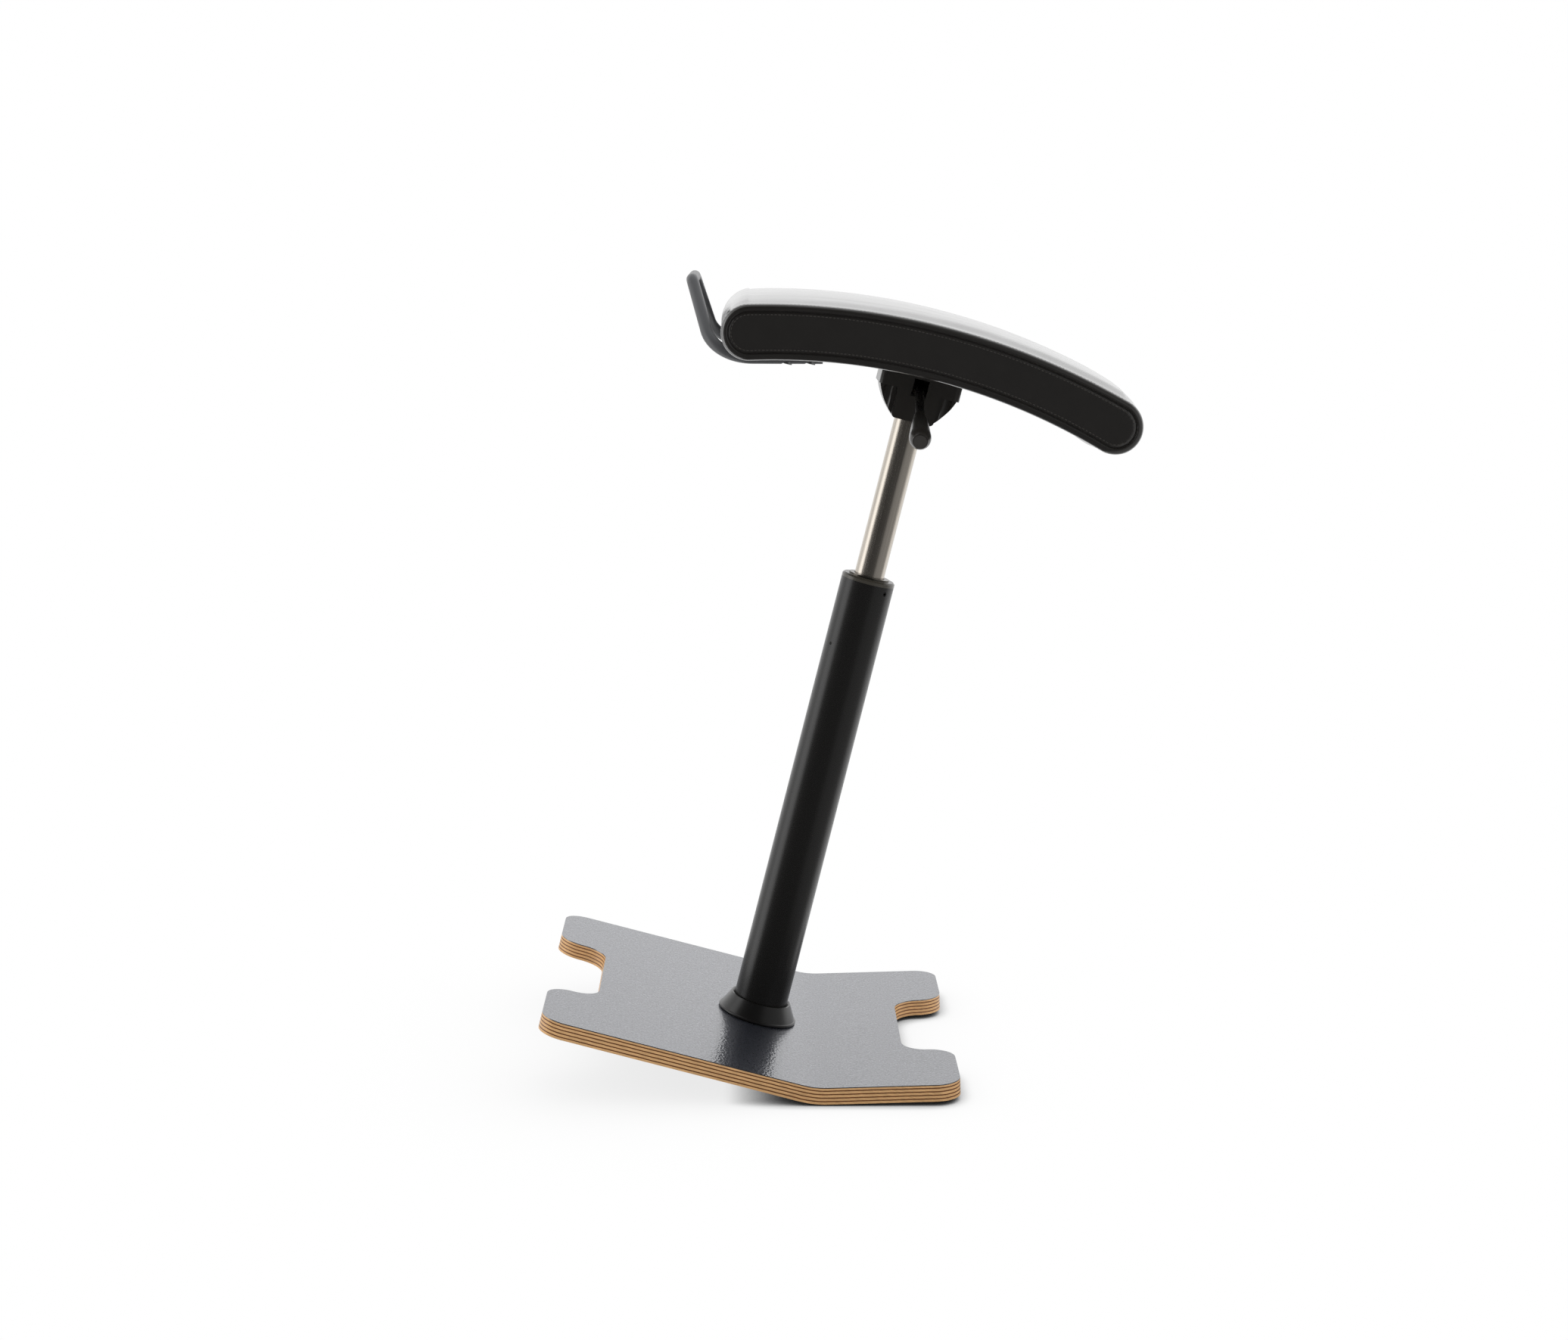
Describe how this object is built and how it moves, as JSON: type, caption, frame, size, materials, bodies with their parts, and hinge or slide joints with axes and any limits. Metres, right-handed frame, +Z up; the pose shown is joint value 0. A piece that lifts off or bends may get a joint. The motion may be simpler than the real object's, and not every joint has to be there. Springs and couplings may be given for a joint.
{
  "type": "perch stool",
  "caption": "Height adjustable perch stool with a curved padded seat and grab handle on a gas column, rocking on a bent plywood board.",
  "frame": {"origin": "middle of the rocking ridge, where its rubber strip rests flat on the floor", "axes": "+Z up, +X towards the drooping front of the seat, +Y to the sitter's left; the column leans 14.4 degrees towards +X as the stool rests on its ridge and front feet"},
  "size_m": [0.5337, 0.3545, 0.7213],
  "materials": {
    "honey_plywood": "clear lacquered plywood edge in light and dark plies",
    "black_laminate": "black laminate with a fine pebble texture",
    "black_rubber": "matt black rubber",
    "zinc_fastener": "zinc plated steel",
    "black_steel": "satin black powder coat",
    "black_moulding": "black moulded plastic with a slight sheen",
    "brushed_column": "brushed nickel plated steel",
    "polished_rod": "hard chromed and ground",
    "bearing_steel": "ground bearing steel",
    "brass_cage": "plain brass",
    "piston_aluminium": "machined aluminium",
    "birch_shell": "raw pressed plywood",
    "grey_foam": "open cell seat foam",
    "black_leather": "smooth black leather with a soft sheen",
    "black_lining": "black woven lining",
    "anthracite_bar": "satin anthracite powder coat"
  },
  "bodies": {
    "stand": {"base_board": "honey_plywood", "top_laminate": "black_laminate", "ridge_strip": "black_rubber", "rear_foot_left": "black_rubber", "rear_foot_right": "black_rubber", "front_foot_left": "black_rubber", "front_foot_right": "black_rubber", "foot_screws": "zinc_fastener", "clamp_plate": "black_steel", "base_screws": "zinc_fastener", "foot_flange": "black_steel", "collar": "black_moulding", "stand_tube": "black_steel", "guide_bush": "black_moulding", "bush_ring": "brushed_column", "set_screw": "bearing_steel", "guide_rivet": "bearing_steel", "lower_race": "bearing_steel", "bearing_cage": "brass_cage", "bearing_balls": "polished_rod"},
    "rod": {"piston_rod": "polished_rod", "piston": "piston_aluminium", "rod_clip": "bearing_steel", "rod_washer": "zinc_fastener", "upper_race": "bearing_steel", "rubber_bumper": "black_rubber"},
    "seat": {"pressure_cylinder": "brushed_column", "rod_guide_plug": "black_moulding", "lever_housing": "black_moulding", "lever_pivot": "zinc_fastener", "housing_screws": "zinc_fastener", "seat_nuts": "zinc_fastener", "seat_shell": "birch_shell", "seat_foam": "grey_foam", "seat_cover": "black_leather", "underside_cover": "black_lining", "side_panel_left": "black_leather", "side_panel_right": "black_leather", "handle_bar": "anthracite_bar", "handle_screws": "zinc_fastener"},
    "lever": {"lever_rod": "black_steel", "lever_grip": "black_moulding", "grip_cap": "black_moulding"},
    "valve": {"release_pin": "zinc_fastener"}
  },
  "joints": [
    {"name": "seat_swivel", "type": "hinge", "parent": "stand", "child": "rod", "pos_m": [-0.05893, 0, 0.02854], "axis": [0.2487, 0, 0.9686], "continuous": true},
    {"name": "seat_height", "type": "slide", "parent": "rod", "child": "seat", "axis": [0.2487, 0, 0.9686], "range_m": [-0.145, 0.055]},
    {"name": "lever_pull", "type": "hinge", "parent": "seat", "child": "lever", "pos_m": [0.09164, -0.024, 0.61495], "axis": [-0.9686, 0, 0.2487], "range_deg": [0, 8], "stiffness_Nm_per_rad": 1, "springref_deg": -5.73},
    {"name": "valve_press", "type": "slide", "parent": "seat", "child": "valve", "axis": [-0.2487, 0, -0.9686], "range_m": [0, 0.0035]}
  ],
  "couplings": [
    {"joint": "valve_press", "follows": "lever_pull", "m_per_rad": 0.024}
  ]
}
